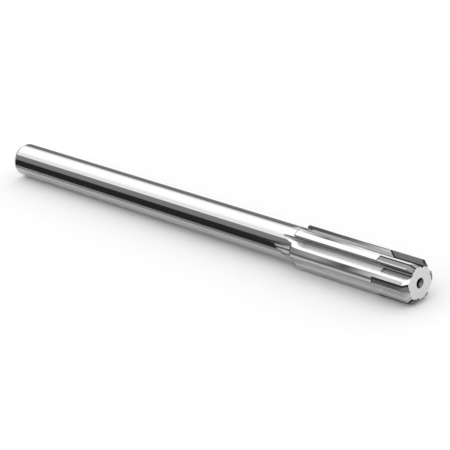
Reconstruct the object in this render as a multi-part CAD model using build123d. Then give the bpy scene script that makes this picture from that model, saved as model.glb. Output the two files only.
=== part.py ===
"""A straight-flute machine reamer with a plain shank and brazed carbide tips, in millimetres.

The tool's axis is X, from the shank's rear face at the origin to the cutting end. The reamer lies as it comes
to rest, on the tips of two neighbouring teeth, with Z up. It cuts right-handed, so it turns from +Y to +Z.
"""

import os
from math import asin, atan2, cos, degrees, radians, sin, tan

from build123d import *

# Whole tool
overall_length = 228.6
shank_diameter = 14.275
cutting_diameter = 17.4625
head_length = 58.2
tooth_count = 6

# Ends of the body
rear_chamfer_length = 1.0
rear_chamfer_depth = 0.4
shoulder_bevel_length = 0.5
shoulder_bevel_depth = 0.25
lead_chamfer = 1.7
centre_mouth_diameter = 4.1
centre_angle = 60.0
centre_pilot_diameter = 2.5
centre_pilot_length = 2.4
drill_point_angle = 118.0

# Teeth: how far the steel lies below the cutting circle, and how far round each tooth reaches
land_step = 0.08
tooth_angle = 28.0
heel_drop = 0.65

# Flutes: a flat rake face, a rounded corner and a flat floor that rises to the next heel
flute_depth = 3.2
flute_corner_radius = 0.6
flute_cutter_radius = 45.0
flute_straight_short_of_shoulder = 5.0

# Carbide tips and the braze that holds them
tip_length = 16.0
tip_thickness = 2.0
tip_height = 2.1
tip_ramp_angle = 42.0
tip_ramp_corner = 1.8
margin_width = 0.4
relief_angle = 7.0
braze_thickness = 0.3

# How far a cutting shape reaches past the surface it cuts
overcut = 2.0

cutting_radius = cutting_diameter / 2
shank_radius = shank_diameter / 2
body_radius = cutting_radius - land_step
heel_radius = cutting_radius - heel_drop
outside_radius = cutting_radius + overcut
shoulder_x = overall_length - head_length
seat_radius = cutting_radius - tip_height
pitch = 360 / tooth_count
land_angle = degrees(asin((tip_thickness + braze_thickness) / body_radius))
margin_angle = degrees(asin(margin_width / cutting_radius))


def polar(radius, angle):
    """A point of the cross-section, with the angle counted from a tooth's cutting edge towards the cut."""
    return (radius * cos(radians(angle)), radius * sin(radians(angle)))


def turned(points):
    """A solid of revolution about the tool's axis from (x, radius) points."""
    profile = make_face(Polyline(*points, close=True))
    return revolve(Plane.XZ * profile, Axis.X)


def cross_section(points):
    """A flat face square to the tool's axis from (along the cutting edge's radius, ahead of it) points."""
    return Plane.YZ * make_face(Polyline(*points, close=True))


def head_profile(radius):
    """The (x, radius) points of the lead chamfer and the front face, for a head of this radius."""
    return [
        (overall_length - lead_chamfer, radius),
        (overall_length, radius - lead_chamfer),
        (overall_length, 0),
    ]


def centre_hole():
    """The drilled and countersunk centre at the shank's rear face, opening to -X."""
    mouth = centre_mouth_diameter / 2
    pilot = centre_pilot_diameter / 2
    cone_end = (mouth - pilot) / tan(radians(centre_angle / 2))
    pilot_end = cone_end + centre_pilot_length
    point = pilot_end + pilot / tan(radians(drill_point_angle / 2))
    return turned([(0, 0), (0, mouth), (cone_end, pilot), (pilot_end, pilot), (point, 0)])


def blank():
    """The turned bar: shank, shoulder and head with its lead chamfer, centred at both ends."""
    bar = turned(
        [
            (0, 0),
            (0, shank_radius - rear_chamfer_depth),
            (rear_chamfer_length, shank_radius),
            (shoulder_x, shank_radius),
            (shoulder_x, body_radius - shoulder_bevel_depth),
            (shoulder_x + shoulder_bevel_length, body_radius),
            *head_profile(body_radius),
        ]
    )
    front_centre = Pos(X=overall_length) * Rot(Z=180) * centre_hole()
    return bar - centre_hole() - front_centre


def flute():
    """The space that the flute cutter sweeps ahead of a tooth, with its round run-out into the shank."""
    floor = cutting_radius - flute_depth
    heel_angle = pitch - tooth_angle
    section = cross_section(
        [
            (outside_radius, 0),
            (floor, 0),
            polar(heel_radius, heel_angle),
            polar(outside_radius, heel_angle),
        ]
    )
    corner = section.vertices().sort_by(Axis.Y)[0]
    section = fillet(corner, flute_corner_radius)
    start = shoulder_x + flute_straight_short_of_shoulder
    section = Pos(X=start) * section
    straight = extrude(section, head_length, dir=(1, 0, 0))
    cutter_axis = Axis((start, floor + flute_cutter_radius, 0), (0, 0, -1))
    run_out = revolve(section, cutter_axis, 90)
    return straight + run_out


def land_relief():
    """What is ground off behind a tooth's land: the land's own side view, slid straight down to the heel."""
    front = overall_length + overcut
    above_land = make_face(
        Polyline(
            (shoulder_x, body_radius),
            (overall_length - lead_chamfer, body_radius),
            (front, body_radius - lead_chamfer - overcut),
            (front, outside_radius),
            (shoulder_x, outside_radius),
            close=True,
        )
    )
    heel = Vector(0, *polar(heel_radius, land_angle - tooth_angle))
    slide = heel - Vector(0, body_radius, 0)
    return Rot(X=-land_angle) * extrude(above_land, slide.length + overcut, dir=slide)


def tip_prism(gap, ahead=0):
    """A tip's block before grinding, with a gap below, behind and at its sloping rear end."""
    slope = radians(tip_ramp_angle)
    bottom = seat_radius - gap
    rear = overall_length - tip_length - gap / sin(slope)
    foot = rear + (cutting_radius - bottom) / tan(slope)
    top = rear - (outside_radius - cutting_radius) / tan(slope)
    front = overall_length + gap
    corners = [(foot, bottom), (front, bottom), (front, outside_radius), (top, outside_radius)]
    side = make_face(Polyline(*corners, close=True))
    foot_corner = side.vertices().sort_by_distance((foot, bottom, 0))[0]
    side = Pos(Z=ahead) * fillet(foot_corner, tip_ramp_corner + gap)
    return extrude(side, ahead + tip_thickness + gap, dir=(0, 0, -1))


def tip_back_height():
    """How high a tip's back edge stands along the cutting edge's radius, after its relief is ground."""
    margin_foot = polar(cutting_radius, -margin_angle)
    return margin_foot[0] - (tip_thickness - margin_width) * tan(radians(margin_angle + relief_angle))


def carbide_tip():
    """A tip ground to the cutting circle and lead chamfer, with a round margin and a relief behind it."""
    envelope = turned([(shoulder_x, 0), (shoulder_x, cutting_radius), *head_profile(cutting_radius)])
    margin_foot = polar(cutting_radius, -margin_angle)
    back = (tip_back_height(), -tip_thickness)
    above = [(outside_radius, back[1]), (outside_radius, margin_foot[1])]
    ground_off = Pos(X=shoulder_x) * cross_section([margin_foot, back, *above])
    relief = extrude(ground_off, head_length + overcut, dir=(1, 0, 0))
    return (tip_prism(0) & envelope) - relief


def pocket():
    """The space milled for a tip and its braze, open to the flute ahead of it."""
    return tip_prism(braze_thickness, ahead=overcut / 2)


def braze_seam(bar):
    """The braze that fills a pocket under, behind and at the rear of its tip, flush with the steel."""
    return (tip_prism(braze_thickness) & bar) - tip_prism(0)


def resting_turn():
    """The angle of the first cutting edge when this edge and the next tooth's back edge share the floor."""
    edge = Vector(cutting_radius, 0)
    back = Vector(tip_back_height(), -tip_thickness).rotate(Axis.Z, pitch)
    line = back - edge
    return -90 - degrees(atan2(-line.X, line.Y))


def main():
    first_edge = resting_turn()
    teeth = [Rot(X=first_edge + tooth * pitch) for tooth in range(tooth_count)]
    bar = blank()
    cuts = [flute(), land_relief(), pocket()]
    body = bar - [place * cut for place in teeth for cut in cuts]
    tip = carbide_tip()
    seam = braze_seam(bar)

    os.makedirs("parts", exist_ok=True)
    export_step(body, "parts/reamer_body.step")
    for number, place in enumerate(teeth, start=1):
        export_step(place * tip, f"parts/carbide_tip_{number}.step")
        export_step(place * seam, f"parts/braze_seam_{number}.step")


main()
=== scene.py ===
import math

import bpy
from bpy.props import FloatProperty, FloatVectorProperty, IntProperty, PointerProperty
from mathutils import Matrix, Vector


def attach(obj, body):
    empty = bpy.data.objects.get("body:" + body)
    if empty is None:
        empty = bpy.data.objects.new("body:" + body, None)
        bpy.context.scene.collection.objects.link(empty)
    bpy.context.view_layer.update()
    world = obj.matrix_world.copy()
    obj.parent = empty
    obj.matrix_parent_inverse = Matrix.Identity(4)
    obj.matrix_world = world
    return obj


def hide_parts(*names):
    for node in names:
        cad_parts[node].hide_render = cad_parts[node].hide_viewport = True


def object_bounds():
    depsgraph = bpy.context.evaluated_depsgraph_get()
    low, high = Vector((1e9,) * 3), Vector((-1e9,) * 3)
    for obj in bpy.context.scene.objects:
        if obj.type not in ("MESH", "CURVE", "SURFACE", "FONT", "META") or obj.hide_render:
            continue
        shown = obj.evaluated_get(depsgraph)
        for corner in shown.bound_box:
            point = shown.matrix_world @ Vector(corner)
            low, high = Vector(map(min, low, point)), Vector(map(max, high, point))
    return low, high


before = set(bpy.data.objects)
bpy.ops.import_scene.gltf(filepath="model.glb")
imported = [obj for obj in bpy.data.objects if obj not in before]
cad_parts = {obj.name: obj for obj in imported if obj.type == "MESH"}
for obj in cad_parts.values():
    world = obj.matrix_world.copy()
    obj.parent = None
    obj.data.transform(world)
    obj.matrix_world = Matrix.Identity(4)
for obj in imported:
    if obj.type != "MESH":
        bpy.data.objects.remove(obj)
cad_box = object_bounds()

bl_info = {
    "name": "Machine reamer",
    "version": (1, 0, 0),
    "blender": (4, 5, 0),
    "location": "View3D > Sidebar > Reamer",
    "description": "A straight-flute machine reamer with brazed carbide tips, and the studio it lies in",
    "category": "Add Mesh",
}

MM = 0.001
TIP_NODES = [name for name in sorted(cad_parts) if name.startswith("carbide_tip")]
SEAM_NODES = [name for name in sorted(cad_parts) if name.startswith("braze_seam")]
BODY_NODE = "reamer_body"

# Faces carry the number of their finish in this list, and the repeating tree gives each finish its material
FINISHES = ("Ground", "Relieved", "Raked", "Fluted", "Faced", "Centred", "Dark shaded", "Seam strip")
GROUND, RELIEVED, RAKED, FLUTED, FACED, CENTRED, SHADE_DARKENED, SEAM_STRIP = range(len(FINISHES))


def hex_to_linear(code):
    """An sRGB hex colour as linear red, green, blue and alpha."""
    channels = [int(code[i:i + 2], 16) / 255 for i in (1, 3, 5)]
    linear = [c / 12.92 if c <= 0.04045 else ((c + 0.055) / 1.055) ** 2.4 for c in channels]
    return (*linear, 1.0)


def length(name, description, millimetres):
    """A length that a user can change, with its default in millimetres."""
    return FloatProperty(
        name=name, description=description, default=millimetres * MM, min=0.0, precision=5,
        subtype="DISTANCE", unit="LENGTH",
    )


def angle(name, description, degrees):
    """An angle that a user can change, with its default in degrees."""
    return FloatProperty(
        name=name, description=description, default=math.radians(degrees), subtype="ANGLE", unit="ROTATION",
    )


def colour(name, description, code):
    """A colour that a user can change, with its default as an sRGB hex value."""
    return FloatVectorProperty(
        name=name, description=description, default=hex_to_linear(code), size=4, min=0.0, max=1.0,
        subtype="COLOR",
    )


class ReamerSizes(bpy.types.PropertyGroup):
    """The sizes of the steel body and the carbide tips."""

    overall_length: length("Overall length", "From the rear face to the front face", cad_box[1].x / MM)
    shank_diameter: length("Shank diameter", "The plain round shank", 14.275)
    cutting_diameter: length("Cutting diameter", "The circle of the cutting edges", 17.4625)
    head_length: length("Head length", "From the shoulder to the front face", 58.2)
    tooth_count: IntProperty(
        name="Teeth", description="How many teeth stand round the head", default=len(TIP_NODES), min=3
    )
    rear_chamfer_length: length("Rear chamfer length", "Along the axis", 1.0)
    rear_chamfer_depth: length("Rear chamfer depth", "Towards the axis", 0.4)
    shoulder_bevel_length: length("Shoulder bevel length", "Along the axis, at the head's rear end", 0.5)
    shoulder_bevel_depth: length("Shoulder bevel depth", "Towards the axis", 0.25)
    lead_chamfer: length("Lead chamfer", "At the cutting end", 1.7)
    centre_mouth: length("Centre mouth", "The countersink's diameter at each end", 4.1)
    centre_angle: angle("Centre angle", "The countersink's whole angle", 60)
    centre_pilot: length("Centre pilot", "The drilled hole's diameter", 2.5)
    centre_pilot_length: length("Centre pilot length", "The drilled hole's straight part", 2.4)
    drill_point: angle("Drill point", "The whole angle at the bottom of the drilled hole", 118)
    land_step: length("Land step", "How far the steel lands lie below the cutting circle", 0.08)
    tooth_angle: angle("Tooth angle", "From a tooth's cutting edge back to its heel", 28)
    heel_drop: length("Heel drop", "How far the heel lies below the cutting circle", 0.65)
    flute_depth: length("Flute depth", "From the cutting circle down the rake face", 3.2)
    flute_corner: length("Flute corner", "The radius between rake face and floor", 0.6)
    flute_cutter: length("Flute cutter", "The radius of the run-out behind the head", 45.0)
    flute_start: length("Flute start", "From the shoulder to where the flute reaches its full depth", 5.0)
    tip_length: length("Tip length", "A carbide tip along the axis", 16.0)
    tip_thickness: length("Tip thickness", "A carbide tip from its rake face to its back", 2.0)
    tip_height: length("Tip height", "A carbide tip from its seat to the cutting edge", 2.1)
    tip_ramp: angle("Tip ramp", "The slope of a tip's rear end", 42)
    tip_ramp_corner: length("Tip ramp corner", "The radius at the foot of that slope", 1.8)
    margin_width: length("Margin width", "The round land behind a cutting edge", 0.4)
    relief_angle: angle("Relief angle", "The slope behind the margin", 7)
    braze_thickness: length("Braze thickness", "The gap under, behind and at the rear of a tip", 0.3)
    # A strip of the braze's dark colour on the steel beside each seam, this wide
    seam_strip_width: length("Burnt width", "The steel that the torch darkened beside a braze seam", 0.5)
    heel_round: length("Heel round", "How far a heel's worn edge reaches each way", 0.3)
    edge_round: length("Edge round", "How far a rake edge's stoned corner reaches each way", 0.2)
    tip_edge: length("Tip edge", "The honed edge of a carbide tip", 0.04)


class ReamerColours(bpy.types.PropertyGroup):
    """The colours of the bare metals."""

    steel: colour("Tool steel", "Bright ground steel", "#B8B8B8")
    rake_steel: colour("Rake steel", "Steel of the rake faces, streaked by a coarse wheel", "#A2A2A1")
    flute_steel: colour("Flute steel", "Steel ground along the flutes", "#C8C8C7")
    # Painted shade: a darker steel colour that stands for the shade in each flute's corner
    flute_corner_shade: colour("Flute corner steel", "Dull steel where the wheel's corner ran", "#6A6A6A")
    faced_steel: colour("Faced steel", "Turned steel at the ends", "#D2D2D1")
    # Painted shade: the centres' steel is darkened for the shade in the countersinks
    centre_shade_steel: colour("Centred steel", "Steel of the countersunk centres", "#5E5E5E")
    # Painted shade: the dark steel of the drilled holes, the shoulder bevel and the rake edges
    shade_darkened_steel: colour("Hardened steel", "Dull steel, not ground since hardening", "#454545")
    carbide: colour("Carbide", "Ground cemented carbide", "#747475")
    # Painted highlight: lighter than the ground carbide, for the line of light along each margin
    honed_carbide_highlight: colour("Honed carbide", "Carbide of the round margins", "#B4B4B4")
    braze: colour("Braze", "Braze darkened by the torch", "#221F1D")


class StudioSettings(bpy.types.PropertyGroup):
    """The camera's place and its lens."""

    camera_azimuth: angle("Camera azimuth", "Round the reamer, from its side towards its front", 45.451)
    camera_elevation: angle("Camera elevation", "Above the reamer's axis", 18.15)
    camera_turn: angle("Camera turn", "The camera's turn about the reamer's axis", -7.9)
    camera_distance: length("Camera distance", "From the point that it looks at", 763.24)
    camera_target: length("Camera target", "Where it looks, along the axis", 126.78)
    camera_drop: length("Camera drop", "How far below the axis it looks", 1.389)
    camera_lens: FloatProperty(
        name="Lens", description="Focal length in millimetres", default=151.567, unit="CAMERA"
    )


# Steps of the searches for where two outlines meet
HALVINGS = 50
THIRDINGS = 60


def polar(radius, turn):
    """A section point at this radius, turned from the cutting edge towards the cut."""
    return (radius * math.cos(turn), radius * math.sin(turn))


def rotated(point, turn):
    """A section point turned about the axis."""
    cosine, sine = math.cos(turn), math.sin(turn)
    return (point[0] * cosine - point[1] * sine, point[0] * sine + point[1] * cosine)


def between(start, end, share):
    """The point this share of the way from start to end."""
    return tuple(a + (b - a) * share for a, b in zip(start, end))


def shares(count):
    """Evenly spaced shares above 0, up to 1."""
    return [(i + 1) / count for i in range(count)]


def bent(start, corner, end, count):
    """Points round a corner that is rounded between start and end."""
    return [
        between(between(start, corner, i / count), between(corner, end, i / count), i / count)
        for i in range(count + 1)
    ]


def crossing(holds, low, high):
    """The value at which a test stops holding, between low, where it holds, and high, where it doesn't."""
    for _ in range(HALVINGS):
        middle = (low + high) / 2
        if holds(middle):
            low = middle
        else:
            high = middle
    return low


class ReamerForm:
    """The steel body's outline over one pitch, at any place x along the axis.

    A section point is (height, ahead): along the radius of a cutting edge, and ahead of that edge.
    A row of points runs round one pitch, from a tooth's heel over its land and down its flute.
    """

    HEEL_STEPS = 5
    RELIEF_STEPS = 4
    POCKET_WALL_STEPS = 2
    LAND_STEPS = 8
    EDGE_STEPS = 8
    CORNER_STEPS = 10
    FLOOR_STEPS = 8
    HOLE_STEPS = 16

    # Rows along the axis in each stretch of the body, from the rear to the front
    SHANK_ROWS = 20
    RUN_OUT_ROWS = 24
    BEVEL_ROWS = 2
    DEEPENING_ROWS = 10
    PLAIN_ROWS = 6
    LAND_RAMP_ROWS = 6
    RAMP_ROWS = 4
    RAMP_CORNER_ROWS = 10
    SEAT_ROWS = 3
    CHAMFER_ROWS = 3

    def __init__(self, sizes):
        self.sizes = sizes
        self.length = sizes.overall_length
        self.pitch = 2 * math.pi / sizes.tooth_count
        self.shank_radius = sizes.shank_diameter / 2
        self.cutting_radius = sizes.cutting_diameter / 2
        self.body_radius = self.cutting_radius - sizes.land_step
        self.heel_radius = self.cutting_radius - sizes.heel_drop
        self.shoulder = self.length - sizes.head_length
        self.chamfer_start = self.length - sizes.lead_chamfer
        self.pocket_width = sizes.tip_thickness + sizes.braze_thickness
        self.pocket_seat = self.cutting_radius - sizes.tip_height - sizes.braze_thickness
        self.slope = math.tan(sizes.tip_ramp)
        self.pocket_rear = self.length - sizes.tip_length - sizes.braze_thickness / math.sin(sizes.tip_ramp)
        self.pocket_start = self.pocket_rear + sizes.land_step / self.slope

        land_angle = math.asin(self.pocket_width / self.body_radius)
        self.land_back = polar(1.0, -land_angle)
        heel = polar(self.heel_radius, -sizes.tooth_angle)
        back = polar(self.body_radius, -land_angle)
        fall = math.dist(heel, back)
        self.relief = ((heel[0] - back[0]) / fall, (heel[1] - back[1]) / fall)

        floor = self.cutting_radius - sizes.flute_depth
        far = polar(self.heel_radius, self.pitch - sizes.tooth_angle)
        reach = math.dist((floor, 0.0), far)
        self.floor_way = ((far[0] - floor) / reach, far[1] / reach)
        self.corner_turn = math.pi / 2 + math.asin(self.floor_way[0])
        tangent = sizes.flute_corner * math.tan(self.corner_turn / 2)
        self.wall_top = self.cutting_radius + sizes.heel_drop
        self.wall_foot = floor + tangent
        self.floor_foot = (floor + tangent * self.floor_way[0], tangent * self.floor_way[1])
        self.floor_reach = reach
        self.cutter_axis = floor + sizes.flute_cutter
        self.full_depth = self.shoulder + sizes.flute_start

        self.tongue_tip, self.tongue_turn = self.find_tongue()
        self.shank_floor_end = self.shank_cut(self.shoulder)[1]

    def flute_point(self, way, x):
        """A flute point: way runs to 1 down the rake face, to 2 round the corner and to 3 along the floor."""
        if way <= 1:
            point = (self.wall_top + (self.wall_foot - self.wall_top) * way, 0.0)
        elif way <= 2:
            turn = (way - 1) * self.corner_turn
            radius = self.sizes.flute_corner
            point = (self.wall_foot - radius * math.sin(turn), radius - radius * math.cos(turn))
        else:
            along = (way - 2) * self.floor_reach
            point = tuple(foot + along * part for foot, part in zip(self.floor_foot, self.floor_way))
        behind = max(0.0, self.full_depth - x)
        arm = self.cutter_axis - point[0]
        return (self.cutter_axis - math.sqrt(arm * arm - behind * behind), point[1])

    def lowest_way(self, x):
        """Where along the section the flute comes nearest to the axis."""
        low, high = 1.0, 3.0
        for _ in range(THIRDINGS):
            third = (high - low) / 3
            if math.hypot(*self.flute_point(low + third, x)) < math.hypot(*self.flute_point(high - third, x)):
                high -= third
            else:
                low += third
        return (low + high) / 2

    def find_tongue(self):
        """The place and the turn at which the flute's run-out first touches the shank."""
        def clear(x):
            return math.hypot(*self.flute_point(self.lowest_way(x), x)) > self.shank_radius
        tip = crossing(clear, self.full_depth - self.sizes.flute_cutter / 2, self.shoulder)
        point = self.flute_point(self.lowest_way(tip), tip)
        return tip, math.atan2(point[1], point[0])

    def shank_cut(self, x):
        """The two ways at which the flute's section enters and leaves the round shank."""
        lowest = self.lowest_way(x)

        def inside(way):
            return math.hypot(*self.flute_point(way, x)) < self.shank_radius
        return crossing(inside, lowest, 0.0), crossing(inside, lowest, 3.0)

    def bar_radius(self, x):
        """The turned head's radius, with its bevel at the shoulder and its lead chamfer."""
        bevel = max(0.0, 1 - (x - self.shoulder) / self.sizes.shoulder_bevel_length)
        chamfer = max(0.0, x - self.chamfer_start)
        return self.body_radius - bevel * self.sizes.shoulder_bevel_depth - chamfer

    def pocket_height(self, x):
        """How high the pocket's ramp or seat stands under a tip."""
        radius = self.sizes.tip_ramp_corner + self.sizes.braze_thickness
        ramp = self.cutting_radius - (x - self.pocket_rear) * self.slope
        foot = self.pocket_rear + (self.cutting_radius - self.pocket_seat) / self.slope
        tangent = radius * math.tan(self.sizes.tip_ramp / 2)
        if x >= foot + tangent:
            return self.pocket_seat
        if x <= foot - tangent * math.cos(self.sizes.tip_ramp):
            return ramp
        return self.pocket_seat + radius - math.sqrt(radius * radius - (foot + tangent - x) ** 2)

    def relief_height(self, point, x):
        """How far a section point lies outside the relief that is ground behind a tooth's land."""
        chamfer = max(0.0, x - self.chamfer_start)
        back = [(self.body_radius - chamfer) * part for part in self.land_back]
        return (point[1] - back[1]) * self.relief[0] - (point[0] - back[0]) * self.relief[1]

    def head_cut(self, x):
        """The two ways at which the flute's section enters and leaves the head, at rake face and heel."""
        top = min(self.bar_radius(x), self.pocket_height(x))
        enter = crossing(lambda way: self.flute_point(way, x)[0] < top, 1.0, 0.0)

        def inside(way):
            return self.relief_height(rotated(self.flute_point(way, x), -self.pitch), x) < 0
        return enter, crossing(inside, 2.0, 3.0)

    def shank_level(self, x):
        """Where down the rake face the shank's radius is reached."""
        return crossing(lambda way: self.flute_point(way, x)[0] < self.shank_radius, 1.0, 0.0)

    def seam_strip_end(self, seat):
        """Where along the flute's section the dark strip under a tip's seam ends."""
        low = seat - self.sizes.seam_strip_width
        if low > self.wall_foot:
            return (self.wall_top - low) / (self.wall_top - self.wall_foot)
        return 1 + (self.wall_foot - low) / (self.sizes.flute_corner * self.corner_turn)

    def flute_row(self, x, cut, level):
        """The flute's points down the rake face past a level and along the floor, between its two cuts."""
        enter, leave = cut
        ways = [enter, level]
        ways += [max(level, 1 + i / self.CORNER_STEPS) for i in range(self.CORNER_STEPS + 1)]
        ways += [2 + (self.shank_floor_end - 2) * share for share in shares(self.FLOOR_STEPS)]
        return [self.flute_point(min(max(way, enter), leave), x) for way in ways]

    def tooth_count_of_points(self):
        """How many points a row has before its flute."""
        back = self.HEEL_STEPS + self.RELIEF_STEPS + self.POCKET_WALL_STEPS
        return back + self.LAND_STEPS + self.EDGE_STEPS + 3

    def flute_count_of_points(self):
        """How many points a row has in its flute."""
        return 2 + self.CORNER_STEPS + 1 + self.FLOOR_STEPS

    def round_tooth(self, radius, start, end):
        """A tooth's points on a plain circle, bunched at the start where the head has a rounded heel."""
        count = self.tooth_count_of_points() - self.HEEL_STEPS - self.EDGE_STEPS
        spread = [start + (end - start) * i / (count - 1) for i in range(count)]
        turns = [start] * self.HEEL_STEPS + spread + [end] * self.EDGE_STEPS
        return [polar(radius, turn) for turn in turns]

    def circle_row(self, x, radius):
        """A row round a plain circle of the bar, where every flute has shrunk to a point."""
        start = self.tongue_turn - self.pitch
        tooth = self.round_tooth(radius, start, self.tongue_turn)
        flute = [polar(radius, self.tongue_turn)] * self.flute_count_of_points()
        return [(x, *point) for point in tooth + flute]

    def shank_row(self, x):
        """A row of the shank where the flutes run out into it."""
        cut = self.shank_cut(x)
        enter, leave = [self.flute_point(way, x) for way in cut]
        start = math.atan2(leave[1], leave[0]) - self.pitch
        end = math.atan2(enter[1], enter[0])
        tooth = self.round_tooth(self.shank_radius, start, end)
        return [(x, *point) for point in tooth + self.flute_row(x, cut, self.shank_level(x))]

    def head_row(self, x):
        """A row of the toothed head."""
        sizes = self.sizes
        cut = self.head_cut(x)
        radius = self.bar_radius(x)
        seat = self.pocket_height(x)

        heel = rotated(self.flute_point(cut[1], x), -self.pitch)
        floor_end = cut[1] - sizes.heel_round / self.floor_reach
        before = rotated(self.flute_point(floor_end, x), -self.pitch)
        after = (heel[0] - self.relief[0] * sizes.heel_round, heel[1] - self.relief[1] * sizes.heel_round)
        tooth = bent(before, heel, after, self.HEEL_STEPS)

        drop = (-self.pocket_width - heel[1]) / self.relief[1]
        back = (heel[0] + self.relief[0] * drop, -self.pocket_width)
        strip_edge = between(back, heel, sizes.seam_strip_width / math.dist(back, heel))
        tooth += [between(after, strip_edge, share) for share in shares(self.RELIEF_STEPS)] + [back]
        foot = (min(back[0], seat), back[1])
        tooth += [between(back, foot, share) for share in shares(self.POCKET_WALL_STEPS)]

        edge_round = sizes.edge_round if seat > radius else 0.0
        last = -edge_round
        for share in shares(self.LAND_STEPS):
            ahead = back[1] + (last - back[1]) * share
            tooth.append((min(math.sqrt(radius * radius - ahead * ahead), seat), ahead))
        top = (min(radius, seat), 0.0)
        tooth += bent(tooth[-1], top, (top[0] - edge_round, 0.0), self.EDGE_STEPS)

        level = self.seam_strip_end(seat) if seat < radius else self.shank_level(x)
        flute = self.flute_row(x, (cut[0], floor_end), level)
        flute[0] = tooth[-1]
        limited = [between((0.0, 0.0), point, min(1.0, radius / math.hypot(*point))) for point in tooth]
        return [(x, *point) for point in limited + flute]

    def centre_hole(self):
        """The (depth, radius) pairs of a centre hole, from its mouth to its bottom."""
        sizes = self.sizes
        mouth, pilot = sizes.centre_mouth / 2, sizes.centre_pilot / 2
        cone = (mouth - pilot) / math.tan(sizes.centre_angle / 2)
        bottom = cone + sizes.centre_pilot_length
        point = bottom + pilot / math.tan(sizes.drill_point / 2)
        return [(0.0, mouth), (cone, pilot), (bottom, pilot), (point, 0.0)]

    def stations(self):
        """Where along the axis the shank, the run-out and the head have their rows."""
        sizes = self.sizes
        bevel_end = self.shoulder + sizes.shoulder_bevel_length
        ramp_end = self.pocket_rear + (self.cutting_radius - self.pocket_seat) / self.slope
        corner = (sizes.tip_ramp_corner + sizes.braze_thickness) * math.tan(sizes.tip_ramp / 2)

        def spaced(start, end, count):
            return [start + (end - start) * share for share in shares(count)]
        shank = spaced(sizes.rear_chamfer_length, self.tongue_tip, self.SHANK_ROWS)
        behind = self.shoulder - self.tongue_tip
        run_out = [self.tongue_tip + behind * share ** 2 for share in shares(self.RUN_OUT_ROWS)]
        head = [self.shoulder]
        for end, count in (
            (bevel_end, self.BEVEL_ROWS),
            (self.full_depth, self.DEEPENING_ROWS),
            (self.pocket_start, self.PLAIN_ROWS),
            (self.pocket_start + self.relief_rise() / self.slope, self.LAND_RAMP_ROWS),
            (ramp_end - corner, self.RAMP_ROWS),
            (ramp_end + corner, self.RAMP_CORNER_ROWS),
            (self.chamfer_start, self.SEAT_ROWS),
            (self.length, self.CHAMFER_ROWS),
        ):
            head += spaced(head[-1], end, count)
        return shank, run_out, head

    def relief_rise(self):
        """How much lower a land is at its back than at its rake edge, along the edge's radius."""
        return self.body_radius - math.sqrt(self.body_radius ** 2 - self.pocket_width ** 2)

    def front_hole(self, start):
        """Rows of the front centre hole over the pitch from this turn, from its mouth to its bottom."""
        turns = [start + self.pitch * i / self.HOLE_STEPS for i in range(self.HOLE_STEPS + 1)]
        return [
            [(self.length - depth, *polar(radius, turn)) for turn in turns]
            for depth, radius in self.centre_hole()
        ]

    def finishes(self, tooth, edge, wall, floor, tipped=False):
        """The finish of each face in a row, from heel to heel, with a dark strip beside a tip."""
        before_seam = self.HEEL_STEPS + self.RELIEF_STEPS
        land = self.POCKET_WALL_STEPS + self.LAND_STEPS + 1
        rest = self.flute_count_of_points() - 2
        # Beside a tip, the faces behind and below its seam take the braze's dark colour
        behind, below = (SEAM_STRIP, SEAM_STRIP) if tipped else (tooth, wall)
        finishes = [tooth] * before_seam + [behind] + [tooth] * land + [edge] * self.EDGE_STEPS
        return finishes + [wall, below, wall] + [floor] * rest

    def rows(self):
        """Every row from the rear centre hole's bottom to the front outline, with its faces' finishes."""
        sizes = self.sizes
        shank, run_out, head = self.stations()
        hole = reversed(self.centre_hole())
        bottom, pilot, cone, mouth = [self.circle_row(depth, radius) for depth, radius in hole]
        rear_edge = self.circle_row(0.0, self.shank_radius - sizes.rear_chamfer_depth)
        chamfer_end = self.circle_row(sizes.rear_chamfer_length, self.shank_radius)
        # Painted shade: the drilled holes take the dark steel, and the countersinks the darkened centre steel
        made = [(row, self.finishes(*[SHADE_DARKENED] * 4)) for row in (bottom, pilot, cone)]
        made += [(mouth, self.finishes(*[CENTRED] * 4)), (rear_edge, self.finishes(*[FACED] * 4))]
        shank_rows = [chamfer_end] + [self.circle_row(x, self.shank_radius) for x in shank]
        made += [(row, self.finishes(*[GROUND] * 4)) for row in shank_rows]
        made += [(self.shank_row(x), self.finishes(GROUND, GROUND, FLUTED, FLUTED)) for x in run_out]
        made.append((self.head_row(head[0]), self.finishes(FACED, FACED, RAKED, FLUTED)))
        bevel_end = self.shoulder + sizes.shoulder_bevel_length
        for x in head[1:]:
            # Painted shade: the shoulder bevel's faces and every rake edge take the dark steel
            tooth = SHADE_DARKENED if x <= bevel_end else RELIEVED
            finishes = self.finishes(tooth, SHADE_DARKENED, RAKED, FLUTED, tipped=x > self.pocket_start)
            made.append((self.head_row(x), finishes))
        return made

    def pitch_mesh(self):
        """The vertices, faces and finishes of one pitch of the body."""
        net = Net()
        made = self.rows()
        whole = [row + [(row[0][0], *rotated(row[0][1:], self.pitch))] for row, _ in made]
        for (near, far), (_, finishes) in zip(zip(whole, whole[1:]), made[1:]):
            for k, finish in enumerate(finishes):
                net.face([near[k], near[k + 1], far[k + 1], far[k]], finish)

        outline = whole[-1]
        mouth, *hole = self.front_hole(math.atan2(outline[0][2], outline[0][1]))
        net.face(outline + mouth[::-1], FACED)
        # Painted shade: the front countersink and drilled hole take the same darkened steels
        for near, far, finish in zip([mouth] + hole, hole, (CENTRED, SHADE_DARKENED, SHADE_DARKENED)):
            for k in range(self.HOLE_STEPS):
                net.face([near[k], near[k + 1], far[k + 1], far[k]], finish)
        return net


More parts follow.
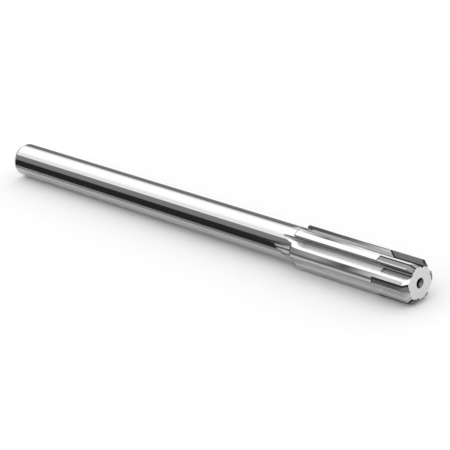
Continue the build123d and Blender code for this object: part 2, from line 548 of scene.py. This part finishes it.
class Net:
    """A mesh in the making: points that meet are one vertex, and faces that shrink to a line are left out."""

    GRAIN = 1e-7

    def __init__(self):
        self.places = {}
        self.vertices = []
        self.faces = []
        self.finishes = []

    def vertex(self, point):
        """The number of the vertex at this point."""
        key = tuple(round(value / self.GRAIN) for value in point)
        if key not in self.places:
            self.places[key] = len(self.vertices)
            self.vertices.append(point)
        return self.places[key]

    def face(self, points, finish):
        """Adds a face with its finish."""
        corners = list(dict.fromkeys(self.vertex(point) for point in points))
        if len(corners) > 2:
            self.faces.append(corners)
            self.finishes.append(finish)

    def mesh_object(self, name):
        """The finished net as an object in the scene."""
        mesh = bpy.data.meshes.new(name)
        mesh.from_pydata(self.vertices, [], self.faces)
        finish = mesh.attributes.new("finish", "INT", "FACE")
        finish.data.foreach_set("value", self.finishes)
        made = bpy.data.objects.new(name, mesh)
        bpy.context.scene.collection.objects.link(made)
        return made


# Steps round a tip's ramp corner, and over its margin and its relief
TIP_CORNER_STEPS = 6
MARGIN_STEPS = 3
TIP_RELIEF_STEPS = 4


def tip_mesh(form):
    """One carbide tip: its side view is carried from the rake face to the back, under the ground top."""
    sizes = form.sizes
    seat = form.cutting_radius - sizes.tip_height
    margin_turn = math.asin(sizes.margin_width / form.cutting_radius)
    margin_foot = polar(form.cutting_radius, -margin_turn)
    fall = math.tan(margin_turn + sizes.relief_angle)
    rear = form.length - sizes.tip_length
    foot = rear + sizes.tip_height / form.slope
    corner = sizes.tip_ramp_corner
    tangent = corner * math.tan(sizes.tip_ramp / 2)

    def side_view(back):
        """The loop of (x, height) points at this distance behind the rake face."""
        if back <= sizes.margin_width:
            top = math.sqrt(form.cutting_radius ** 2 - back * back)
        else:
            top = margin_foot[0] - (back - sizes.margin_width) * fall
        break_x = form.chamfer_start + form.cutting_radius - math.hypot(top, back)
        front_top = math.sqrt((form.cutting_radius - sizes.lead_chamfer) ** 2 - back * back)
        loop = [(rear + (form.cutting_radius - top) / form.slope, top), (break_x, top)]
        loop += [(form.length, front_top), (form.length, seat)]
        for i in range(TIP_CORNER_STEPS + 1):
            turn = sizes.tip_ramp * i / TIP_CORNER_STEPS
            loop.append((foot + tangent - corner * math.sin(turn), seat + corner - corner * math.cos(turn)))
        return [(x, height, -back) for x, height in loop]

    margin = [sizes.margin_width * i / MARGIN_STEPS for i in range(MARGIN_STEPS + 1)]
    behind = sizes.tip_thickness - sizes.margin_width
    relief = [sizes.margin_width + behind * share for share in shares(TIP_RELIEF_STEPS)]
    layers = [side_view(back) for back in margin + relief]
    net = Net()
    net.face(layers[0], GROUND)
    net.face(layers[-1][::-1], GROUND)
    count = len(layers[0])
    for number, (near, far) in enumerate(zip(layers, layers[1:])):
        for i in range(count):
            following = (i + 1) % count
            honed = i == 0 and number < len(margin) - 1
            net.face([near[i], far[i], far[following], near[following]], RELIEVED if honed else GROUND)
    return net


def resting_turn(form):
    """The first cutting edge's angle when this edge and the next tooth's back edge share the floor."""
    sizes = form.sizes
    margin_turn = math.asin(sizes.margin_width / form.cutting_radius)
    fall = (sizes.tip_thickness - sizes.margin_width) * math.tan(margin_turn + sizes.relief_angle)
    back_height = form.cutting_radius * math.cos(margin_turn) - fall
    back = rotated((back_height, -sizes.tip_thickness), form.pitch)
    return -math.pi / 2 - math.atan2(form.cutting_radius - back[0], back[1])


def add_node(tree, kind, inputs=None, **settings):
    """Adds a node with its settings, and gives each named input a value or a link."""
    node = tree.nodes.new(kind)
    for name, value in settings.items():
        setattr(node, name, value)
    for socket, value in (inputs or {}).items():
        if isinstance(value, bpy.types.NodeSocket):
            tree.links.new(value, node.inputs[socket])
        else:
            node.inputs[socket].default_value = value
    return node


def repeating_tree():
    """Geometry nodes that stand copies of a tooth round the axis, weld them and give each its materials."""
    tree = bpy.data.node_groups.new("Repeat round the axis", "GeometryNodeTree")
    sockets = [("Geometry", "Geometry"), ("Count", "Int"), ("First angle", "Float")]
    sockets += [("Weld distance", "Float"), ("Crease angle", "Float")]
    sockets += [(f"{finish} material", "Material") for finish in FINISHES]
    for name, kind in sockets:
        tree.interface.new_socket(name, in_out="INPUT", socket_type=f"NodeSocket{kind}")
    tree.interface.new_socket("Geometry", in_out="OUTPUT", socket_type="NodeSocketGeometry")

    given = add_node(tree, "NodeGroupInput").outputs
    points = add_node(tree, "GeometryNodePoints", {"Count": given["Count"]})
    index = add_node(tree, "GeometryNodeInputIndex")
    step = add_node(tree, "ShaderNodeMath", {0: 2 * math.pi, 1: given["Count"]}, operation="DIVIDE")
    turn = add_node(
        tree, "ShaderNodeMath", {0: index.outputs[0], 1: step.outputs[0], 2: given["First angle"]},
        operation="MULTIPLY_ADD",
    )
    rotation = add_node(
        tree, "FunctionNodeAxisAngleToRotation", {"Axis": (1, 0, 0), "Angle": turn.outputs[0]}
    )
    copies = add_node(
        tree, "GeometryNodeInstanceOnPoints",
        {"Points": points.outputs[0], "Instance": given["Geometry"], "Rotation": rotation.outputs[0]},
    )
    realized = add_node(tree, "GeometryNodeRealizeInstances", {"Geometry": copies.outputs[0]})
    welded = add_node(
        tree, "GeometryNodeMergeByDistance",
        {"Geometry": realized.outputs[0], "Distance": given["Weld distance"]},
    )
    smooth = add_node(tree, "GeometryNodeSetShadeSmooth", {"Geometry": welded.outputs[0]}, domain="FACE")
    edges = add_node(tree, "GeometryNodeInputMeshEdgeAngle")
    creased = add_node(
        tree, "FunctionNodeCompare", {0: edges.outputs[0], 1: given["Crease angle"]}, operation="GREATER_THAN"
    )
    last = add_node(
        tree, "GeometryNodeSetShadeSmooth",
        {"Geometry": smooth.outputs[0], "Selection": creased.outputs[0], "Shade Smooth": False},
        domain="EDGE",
    )
    finish = add_node(tree, "GeometryNodeInputNamedAttribute", {"Name": "finish"}, data_type="INT")
    for number, name in enumerate(FINISHES):
        chosen = add_node(
            tree, "FunctionNodeCompare", {2: finish.outputs[0], 3: number}, data_type="INT", operation="EQUAL"
        )
        last = add_node(
            tree, "GeometryNodeSetMaterial",
            {
                "Geometry": last.outputs[0],
                "Selection": chosen.outputs[0],
                "Material": given[f"{name} material"],
            },
        )
    add_node(tree, "NodeGroupOutput", {"Geometry": last.outputs[0]})
    return tree


def stand_round(piece, form, crease_angle, materials):
    """Repeats a piece's mesh round the axis and leaves the result as the piece's own plain mesh."""
    tree = bpy.data.node_groups.get("Repeat round the axis") or repeating_tree()
    values = {
        "Count": form.sizes.tooth_count,
        "First angle": resting_turn(form),
        "Weld distance": 10 * Net.GRAIN,
        "Crease angle": crease_angle,
    }
    values.update({f"{finish} material": material for finish, material in zip(FINISHES, materials)})
    repeat = piece.modifiers.new("Repeat", "NODES")
    repeat.node_group = tree
    for item in tree.interface.items_tree:
        if item.in_out == "INPUT" and item.name in values:
            repeat[item.identifier] = values[item.name]
    weights = piece.modifiers.new("Face weights", "WEIGHTED_NORMAL")
    weights.keep_sharp = True
    weights.weight = 100
    graph = bpy.context.evaluated_depsgraph_get()
    made = bpy.data.meshes.new_from_object(
        piece.evaluated_get(graph), preserve_all_data_layers=True, depsgraph=graph
    )
    piece.modifiers.clear()
    piece.data = made
    made.name = piece.name
    return piece


# Where the values of a noise pattern mostly lie, and how deep a wheel's or a tool's marks are, in millimetres
NOISE_LOW, NOISE_HIGH = 0.3, 0.7
MARK_DEPTH = 0.01
WAVE_DEPTH = 0.06


def bare_metal(name, tint, roughness):
    """A new material with a metal shader, its tree, and the piece's own coordinates."""
    material = bpy.data.materials.new(name)
    material.use_nodes = True
    tree = material.node_tree
    shader = tree.nodes["Principled BSDF"]
    shader.inputs["Metallic"].default_value = 1.0
    shader.inputs["Base Color"].default_value = tint
    shader.inputs["Roughness"].default_value = roughness
    place = add_node(tree, "ShaderNodeTexCoord").outputs["Object"]
    return material, tree, shader, place


def streaks(tree, place, spacing, stretch, seed):
    """Fine parallel lines of this spacing, drawn out by stretch along each axis."""
    scale = [1 / (spacing * part) for part in stretch]
    mapped = add_node(
        tree, "ShaderNodeMapping", {"Vector": place, "Scale": scale, "Location": (seed, seed, seed)}
    )
    noise = add_node(
        tree, "ShaderNodeTexNoise", {"Vector": mapped.outputs[0], "Scale": 1.0, "Detail": 3.0}
    )
    return noise.outputs["Fac"]


def finish_metal(tree, shader, worn, roughness, marks=()):
    """Spreads a metal's roughness over a pattern and engraves marks in it.

    Each mark is a pattern, its strength and its depth in millimetres, and lies on top of the marks before it.
    """
    spread = add_node(
        tree, "ShaderNodeMapRange",
        {
            "Value": worn, "From Min": NOISE_LOW, "From Max": NOISE_HIGH,
            "To Min": roughness[0], "To Max": roughness[1],
        },
    )
    tree.links.new(spread.outputs[0], shader.inputs["Roughness"])
    engraved = None
    for pattern, strength, depth in marks:
        inputs = {"Height": pattern, "Strength": strength, "Distance": depth * MM}
        if engraved is not None:
            inputs["Normal"] = engraved
        engraved = add_node(tree, "ShaderNodeBump", inputs).outputs[0]
        tree.links.new(engraved, shader.inputs["Normal"])


def share_of_pitch(tree, place, form):
    """How far round the axis a point lies from the rake face behind it, as a share of a pitch."""
    rake_clearance = 0.02
    axes = add_node(tree, "ShaderNodeSeparateXYZ", {0: place}).outputs
    share = add_node(tree, "ShaderNodeMath", {0: axes["Z"], 1: axes["Y"]}, operation="ARCTAN2").outputs[0]
    first = resting_turn(form) - rake_clearance
    for operation, value in (("SUBTRACT", first), ("DIVIDE", form.pitch), ("FRACT", 0.0)):
        share = add_node(tree, "ShaderNodeMath", {0: share, 1: value}, operation=operation).outputs[0]
    return share


def ground_steel(colours):
    """High-speed steel, cylindrically ground: a clear mirror with the wheel's fine rings round the shank."""
    material, tree, shader, place = bare_metal("ground_tool_steel", colours.steel, 0.1)
    # The real rings are some hundredths of a millimetre apart and are drawn coarser to show at all
    rings = streaks(tree, place, 0.3 * MM, (1.0, 60.0, 60.0), 3.0)
    finish_metal(tree, shader, rings, (0.07, 0.12), [(rings, 0.06, MARK_DEPTH)])
    return material


def wheel_marked(name, tint, roughness, waviness, seed):
    """Steel that a wheel has ground lengthwise: its fine lines run down the tool, and it is a little wavy."""
    material, tree, shader, place = bare_metal(name, tint, roughness[0])
    # The lines are drawn coarser than the wheel leaves them, so that they show
    lines = streaks(tree, place, 0.25 * MM, (80.0, 1.0, 1.0), seed)
    waves = streaks(tree, place, 3.0 * MM, (3.0, 1.0, 1.0), seed + 1)
    marks = [(lines, 0.08, MARK_DEPTH), (waves, waviness, WAVE_DEPTH)]
    finish_metal(tree, shader, lines, roughness, marks)
    return material, tree, shader, place


def relieved_steel(colours):
    """High-speed steel, backed off behind the cutting edges: a bright mirror with the wheel's lines in it."""
    return wheel_marked("relief_ground_steel", colours.steel, (0.03, 0.06), 0.1, 7.0)[0]


def raked_steel(colours):
    """High-speed steel of the rake faces, ground with a coarse wheel: a darker mirror with broad streaks."""
    return wheel_marked("rake_ground_steel", colours.rake_steel, (0.05, 0.1), 0.2, 5.0)[0]


def fluted_steel(colours, form):
    """High-speed steel, ground along the flutes: satin and a little wavy, with painted shade darkening the
    flute's corner.
    """
    made = wheel_marked("flute_ground_steel", colours.flute_steel, (0.2, 0.28), 0.4, 8.0)
    material, tree, shader, place = made
    # The painted shade is full in the corner up to one share of the pitch and has faded out by another
    shade_full_until, shade_gone_from = 0.04, 0.34
    clear = add_node(
        tree, "ShaderNodeMapRange",
        {"Value": share_of_pitch(tree, place, form), "From Min": shade_full_until, "From Max": shade_gone_from},
        interpolation_type="SMOOTHSTEP",
    )
    # Painted shade: the corner's darker colour fades into the flute's own steel colour
    tint = add_node(
        tree, "ShaderNodeMix",
        {"Factor": clear.outputs[0], 6: colours.flute_corner_shade, 7: colours.flute_steel},
        data_type="RGBA",
    )
    tree.links.new(tint.outputs[2], shader.inputs["Base Color"])
    return material


def faced_steel(colours):
    """High-speed steel, turned flat at the ends: satin grey with the tool's rings round the centre."""
    material, tree, shader, place = bare_metal("faced_tool_steel", colours.faced_steel, 0.3)
    # A fine facing feed, with its rings drawn about six times as coarse so that they show
    feed = 0.2 * MM
    rings = add_node(
        tree, "ShaderNodeTexWave",
        {"Vector": place, "Scale": 1 / feed / (2 * math.pi) / 3, "Distortion": 1.0},
        wave_type="RINGS", rings_direction="X",
    ).outputs["Fac"]
    mottle = streaks(tree, place, 0.8 * MM, (1.0, 1.0, 1.0), 2.0)
    finish_metal(tree, shader, mottle, (0.26, 0.36), [(rings, 0.1, MARK_DEPTH)])
    return material


def ringed(name, tint, roughness, strength):
    """Steel with the rings that a drill or a turning tool leaves round the axis."""
    material, tree, shader, place = bare_metal(name, tint, roughness[0])
    rings = streaks(tree, place, 0.12 * MM, (1.0, 40.0, 40.0), 10.0)
    finish_metal(tree, shader, rings, roughness, [(rings, strength, MARK_DEPTH)])
    return material


def centre_shade_steel(colours):
    """High-speed steel of the countersunk centres, rubbed by a lathe's points: satin, faintly ringed, and
    darkened with painted shade.
    """
    return ringed("centre_shade_tool_steel", colours.centre_shade_steel, (0.2, 0.3), 0.1)


def shade_darkened_steel(colours):
    """High-speed steel darkened with painted shade, in the drilled holes and on the head's edges: dull and
    dark.
    """
    return ringed("shade_darkened_tool_steel", colours.shade_darkened_steel, (0.35, 0.5), 0.2)


def diamond_ground(name, tint, roughness):
    """Cemented carbide, ground with a diamond wheel: fine lines along it and a close mottled grain."""
    material, tree, shader, place = bare_metal(name, tint, roughness[0])
    lines = streaks(tree, place, 0.15 * MM, (40.0, 1.0, 1.0), 11.0)
    grain = streaks(tree, place, 0.4 * MM, (1.0, 1.0, 1.0), 6.0)
    darker = [0.8 * part for part in tint[:3]] + [1.0]
    mottled = add_node(tree, "ShaderNodeMix", {"Factor": grain, 6: darker, 7: tint}, data_type="RGBA")
    tree.links.new(mottled.outputs[2], shader.inputs["Base Color"])
    finish_metal(tree, shader, lines, roughness, [(lines, 0.1, MARK_DEPTH)])
    return material


def ground_carbide(colours):
    """Cemented carbide of the tips, as the diamond wheel left it: dark satin grey."""
    return diamond_ground("ground_carbide", colours.carbide, (0.2, 0.3))


def honed_carbide_highlight(colours):
    """Cemented carbide of the round margins, honed to size: smoother, and lighter as a painted highlight
    along each cutting edge.
    """
    return diamond_ground("honed_carbide_highlight", colours.honed_carbide_highlight, (0.1, 0.16))


def burnt_braze(colours):
    """Silver braze, left as it set and darkened by the torch: a dull brown-black line, lighter in places."""
    material, tree, shader, place = bare_metal("torch_darkened_braze", colours.braze, 0.55)
    blotches = streaks(tree, place, 0.6 * MM, (1.0, 1.0, 1.0), 4.0)
    lighter = [min(1.0, 2.0 * part) for part in colours.braze[:3]] + [1.0]
    parts = {"Factor": blotches, 6: colours.braze, 7: lighter}
    blotched = add_node(tree, "ShaderNodeMix", parts, data_type="RGBA")
    tree.links.new(blotched.outputs[2], shader.inputs["Base Color"])
    finish_metal(tree, shader, blotches, (0.45, 0.65))
    return material


# Edges sharper than these stay creased, and a tip's edges past the last one are honed
BODY_CREASE = math.radians(12)
TIP_CREASE = math.radians(35)
HONED_EDGE = math.radians(25)


class REAMER_OT_body(bpy.types.Operator):
    """Builds the steel body: shank, run-outs, fluted head, tip pockets and centre holes."""

    bl_idname = "reamer.body"
    bl_label = "Steel body"

    def execute(self, context):
        form = ReamerForm(context.scene.reamer_sizes)
        colours = context.scene.reamer_colours
        body = form.pitch_mesh().mesh_object("steel_body")
        materials = [
            ground_steel(colours), relieved_steel(colours), raked_steel(colours), fluted_steel(colours, form),
            faced_steel(colours), centre_shade_steel(colours), shade_darkened_steel(colours), burnt_braze(colours),
        ]
        stand_round(body, form, BODY_CREASE, materials)
        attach(body, "root")
        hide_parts(BODY_NODE)
        return {"FINISHED"}


class REAMER_OT_carbide_tips(bpy.types.Operator):
    """Builds the six carbide tips with honed edges."""

    bl_idname = "reamer.carbide_tips"
    bl_label = "Carbide tips"

    def execute(self, context):
        form = ReamerForm(context.scene.reamer_sizes)
        tips = tip_mesh(form).mesh_object("carbide_tips")
        honed = tips.modifiers.new("Honed edges", "BEVEL")
        honed.width = form.sizes.tip_edge
        honed.segments = 2
        honed.limit_method = "ANGLE"
        honed.angle_limit = HONED_EDGE
        colours = context.scene.reamer_colours
        stand_round(tips, form, TIP_CREASE, [ground_carbide(colours), honed_carbide_highlight(colours)])
        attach(tips, "root")
        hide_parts(*TIP_NODES)
        return {"FINISHED"}


class REAMER_OT_braze_seams(bpy.types.Operator):
    """Gives the six braze seams of the frame their darkened metal."""

    bl_idname = "reamer.braze_seams"
    bl_label = "Braze seams"

    def execute(self, context):
        braze = bpy.data.materials.get("torch_darkened_braze") or burnt_braze(context.scene.reamer_colours)
        for name in SEAM_NODES:
            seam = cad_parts[name]
            seam.data.materials.clear()
            seam.data.materials.append(braze)
        return {"FINISHED"}


# Strengths of the dome and the cards, the floor's grey, and how far the floor reaches in metres
DOME_STRENGTH = 1.25
CARD_STRENGTH = 1.66
FLOOR_GREY = 0.82
FLOOR_REACH = 2.0

# The camera's sensor in millimetres, and the nearest that it sees
SENSOR_WIDTH = 36.0
CLIP_START = 10 * MM

# The black below a card's step, and how far the step is blurred each way in millimetres
FLAG_BLACK = (0.02, 0.02, 0.02, 1.0)
STEP_BLUR = 2

# The softbox, in millimetres: its height, its ends, its two sides, and (place, grey) stops across it
SOFTBOX_HEIGHT = 200
SOFTBOX_REACH = (-900, 700)
SOFTBOX_SIDES = (-400, 240)
SOFTBOX_GREYS = [(-260, 1.3), (-125, 0.9), (-35, 1.3), (75, 1.3), (135, 1.1), (240, 0.5)]

# Upright cards, in millimetres: how far aside, from rear to front, from bottom to top, and their greys as
# (place, grey) stops along the axis. One card's greys lean with the height, and one is black below a step
CARDS = {
    "shank_card": {
        "aside": -150, "reach": (-900, 33), "heights": (-40, 68),
        "stops": [(-900, 0.22), (33, 0.22)], "step": 30,
    },
    "low_card": {
        "aside": -150, "reach": (33, 150), "heights": (28, 68),
        "stops": [(33, 0.1), (66, 0.2), (90, 1.0), (150, 0.2)],
    },
    "under_card": {
        "aside": -150, "reach": (33, 150), "heights": (-40, 28),
        "stops": [(33, 0.02), (46, 0.02), (54, 2.0), (150, 2.0)],
    },
    "high_card": {
        "aside": -150, "reach": (-900, 150), "heights": (68, 150),
        "stops": [(24, 0.22), (44, 0.4), (64, 0.08), (88, 0.8), (150, 0.2)],
    },
    "far_card": {
        "aside": 40, "reach": (-900, 170), "heights": (-20, 38),
        "stops": [(143, 0.17), (145, 0.17), (147, 1.0)], "lean": 0.625,
    },
    "streak_card": {
        "aside": 39, "reach": (133, 240), "heights": (24, 36),
        "stops": [(133, 0.8), (147, 0.15), (168, 1.0)],
    },
    "shank_flag": {
        "aside": -18, "reach": (-900, 152), "heights": (-10, 2), "stops": [(-900, 0.02), (146, 0.02)],
    },
    "bounce_card": {
        "aside": -12, "reach": (-900, 160), "heights": (-10, -3.5), "stops": [(-900, 0.25), (160, 0.25)],
    },
    "head_flag": {
        "aside": -24, "reach": (146, 215), "heights": (-10, -2), "stops": [(146, 0.15), (215, 0.15)],
    },
    "far_flag": {
        "aside": 240, "reach": (-900, 700), "heights": (-10, 200), "stops": [(-900, 0.1), (700, 0.1)],
    },
}


def sheet_object(name, corners, material):
    """A flat four-cornered stage piece that isn't part of the reamer."""
    mesh = bpy.data.meshes.new(name)
    mesh.from_pydata(corners, [], [(0, 1, 2, 3)])
    mesh.materials.append(material)
    made = bpy.data.objects.new(name, mesh)
    bpy.context.scene.collection.objects.link(made)
    return made


def stage_material(name):
    """A new material for the stage with an empty tree, its output and its coordinates in metres."""
    material = bpy.data.materials.new(name)
    material.use_nodes = True
    tree = material.node_tree
    tree.nodes.clear()
    output = add_node(tree, "ShaderNodeOutputMaterial")
    place = add_node(tree, "ShaderNodeTexCoord").outputs["Object"]
    axes = add_node(tree, "ShaderNodeSeparateXYZ", {0: place}).outputs
    return material, tree, output, axes


def grey_ramp(tree, value, stops):
    """Greys along a coordinate, from (millimetres, grey) stops."""
    start, end = stops[0][0] * MM, stops[-1][0] * MM
    along = add_node(tree, "ShaderNodeMapRange", {"Value": value, "From Min": start, "From Max": end})
    ramp = add_node(tree, "ShaderNodeValToRGB", {"Fac": along.outputs[0]})
    elements = ramp.color_ramp.elements
    while len(elements) < len(stops):
        elements.new(1.0)
    for element, (place, grey) in zip(elements, stops):
        element.position = (place * MM - start) / (end - start)
        element.color = (grey, grey, grey, 1.0)
    return ramp.outputs["Color"]


def floor_material():
    """Pale paper that the dome alone lights. The reamer's soft shadow lies on it and shows in the steel."""
    material, tree, output, _ = stage_material("studio_floor")
    paper = add_node(tree, "ShaderNodeBsdfDiffuse", {"Color": (FLOOR_GREY, FLOOR_GREY, FLOOR_GREY, 1)})
    tree.links.new(paper.outputs[0], output.inputs["Surface"])
    return material


def glowing_card(name, corners, shade):
    """A card that shows in the steel and nowhere else, with the greys that shade makes of its coordinates."""
    material, tree, output, axes = stage_material(name)
    glow = add_node(tree, "ShaderNodeEmission", {"Color": shade(tree, axes), "Strength": CARD_STRENGTH})
    tree.links.new(glow.outputs[0], output.inputs["Surface"])
    card = sheet_object(name, [[part * MM for part in corner] for corner in corners], material)
    card.visible_camera = False
    card.visible_diffuse = False
    card.visible_shadow = False


def upright_card(name, aside, reach, heights, stops, lean=0.0, step=None):
    """A card along the reamer, with greys along it that lean with its height, and black below a step."""
    def shade(tree, axes):
        along = add_node(
            tree, "ShaderNodeMath", {0: axes["Z"], 1: lean, 2: axes["X"]}, operation="MULTIPLY_ADD"
        )
        grey = grey_ramp(tree, along.outputs[0], stops)
        if step is None:
            return grey
        start, end = (step - STEP_BLUR) * MM, (step + STEP_BLUR) * MM
        upper = add_node(
            tree, "ShaderNodeMapRange", {"Value": axes["Z"], "From Min": start, "From Max": end},
            interpolation_type="SMOOTHSTEP",
        )
        parts = {"Factor": upper.outputs[0], 6: FLAG_BLACK, 7: grey}
        return add_node(tree, "ShaderNodeMix", parts, data_type="RGBA").outputs[2]
    (rear, front), (low, high) = reach, heights
    corners = [(rear, aside, low), (front, aside, low), (front, aside, high), (rear, aside, high)]
    glowing_card(name, corners, shade)


def softbox():
    """A wide soft light over the reamer, with a dimmer seam along it and a dimmer far edge."""
    (rear, front), (near, far) = SOFTBOX_REACH, SOFTBOX_SIDES
    corners = [(x, y, SOFTBOX_HEIGHT) for x, y in ((rear, near), (front, near), (front, far), (rear, far))]
    glowing_card("softbox", corners, lambda tree, axes: grey_ramp(tree, axes["Y"], SOFTBOX_GREYS))


def studio_world():
    """A plain white dome of soft light. The camera and the steel see it as plain white."""
    world = bpy.data.worlds.new("studio_dome")
    bpy.context.scene.world = world
    world.use_nodes = True
    tree = world.node_tree
    tree.nodes.clear()
    rays = add_node(tree, "ShaderNodeLightPath").outputs
    shown = rays["Is Camera Ray"]
    for kind in ("Is Glossy Ray", "Is Transmission Ray"):
        shown = add_node(tree, "ShaderNodeMath", {0: shown, 1: rays[kind]}, operation="MAXIMUM").outputs[0]
    dome = add_node(tree, "ShaderNodeBackground", {"Color": (1, 1, 1, 1), "Strength": DOME_STRENGTH})
    white = add_node(tree, "ShaderNodeBackground", {"Color": (1, 1, 1, 1), "Strength": 1.0})
    chosen = add_node(tree, "ShaderNodeMixShader", {0: shown, 1: dome.outputs[0], 2: white.outputs[0]})
    add_node(tree, "ShaderNodeOutputWorld", {"Surface": chosen.outputs[0]})


def studio_camera(studio):
    """The camera, on an orbit about the reamer that is then turned about the reamer's axis."""
    azimuth, elevation = studio.camera_azimuth, studio.camera_elevation
    level = math.cos(elevation)
    back = Vector((math.sin(azimuth) * level, -math.cos(azimuth) * level, math.sin(elevation)))
    right = Vector((math.cos(azimuth), math.sin(azimuth), 0.0))
    up = back.cross(right)
    place = Vector((studio.camera_target, 0.0, -studio.camera_drop)) + back * studio.camera_distance
    turn = Matrix.Rotation(studio.camera_turn, 4, "X")
    axes = Matrix((right, up, back)).transposed().to_4x4()
    camera = bpy.data.objects.new("camera", bpy.data.cameras.new("camera"))
    bpy.context.scene.collection.objects.link(camera)
    camera.matrix_world = turn @ Matrix.Translation(place) @ axes
    camera.data.sensor_width = SENSOR_WIDTH
    camera.data.lens = studio.camera_lens
    camera.data.clip_start = CLIP_START
    bpy.context.scene.camera = camera


class REAMER_OT_studio(bpy.types.Operator):
    """Sets up the floor under the reamer, the cards that it mirrors, the soft light and the camera."""

    bl_idname = "reamer.studio"
    bl_label = "Studio"

    def execute(self, context):
        studio = context.scene.reamer_studio
        form = ReamerForm(context.scene.reamer_sizes)
        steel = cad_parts[BODY_NODE].data.vertices
        heel_x = form.sizes.rear_chamfer_length
        toe_x = form.shoulder + form.sizes.shoulder_bevel_length
        toe_z = min(vertex.co.z for vertex in steel if vertex.co.x > form.shoulder)
        slope = (toe_z + form.shank_radius) / (toe_x - heel_x)

        sides = ((-1, -1), (1, -1), (1, 1), (-1, 1))
        plan = [(x * FLOOR_REACH, y * FLOOR_REACH) for x, y in sides]
        corners = [(x, y, -form.shank_radius + slope * (x - heel_x)) for x, y in plan]
        sheet_object("floor", corners, floor_material())
        for name, card in CARDS.items():
            upright_card(name, **card)
        softbox()
        studio_world()
        studio_camera(studio)
        context.scene.view_settings.view_transform = "Standard"
        return {"FINISHED"}


OPERATORS = (REAMER_OT_body, REAMER_OT_carbide_tips, REAMER_OT_braze_seams, REAMER_OT_studio)
SETTINGS = {"reamer_sizes": ReamerSizes, "reamer_colours": ReamerColours, "reamer_studio": StudioSettings}


class REAMER_PT_sidebar(bpy.types.Panel):
    """Lists the reamer's pieces and settings in the sidebar."""

    bl_idname = "REAMER_PT_sidebar"
    bl_label = "Machine reamer"
    bl_space_type = "VIEW_3D"
    bl_region_type = "UI"
    bl_category = "Reamer"

    def draw(self, context):
        for operator in OPERATORS:
            self.layout.operator(operator.bl_idname)
        for name, group in SETTINGS.items():
            column = self.layout.column(align=True)
            for setting in group.__annotations__:
                column.prop(getattr(context.scene, name), setting)


def register():
    for group in (*SETTINGS.values(), *OPERATORS, REAMER_PT_sidebar):
        bpy.utils.register_class(group)
    for name, group in SETTINGS.items():
        setattr(bpy.types.Scene, name, PointerProperty(type=group))


def unregister():
    for name in SETTINGS:
        delattr(bpy.types.Scene, name)
    for group in (REAMER_PT_sidebar, *reversed(OPERATORS), *reversed(SETTINGS.values())):
        bpy.utils.unregister_class(group)


def main():
    register()
    bpy.ops.reamer.body()
    bpy.ops.reamer.carbide_tips()
    bpy.ops.reamer.braze_seams()
    bpy.ops.reamer.studio()


if __name__ == "__main__":
    main()
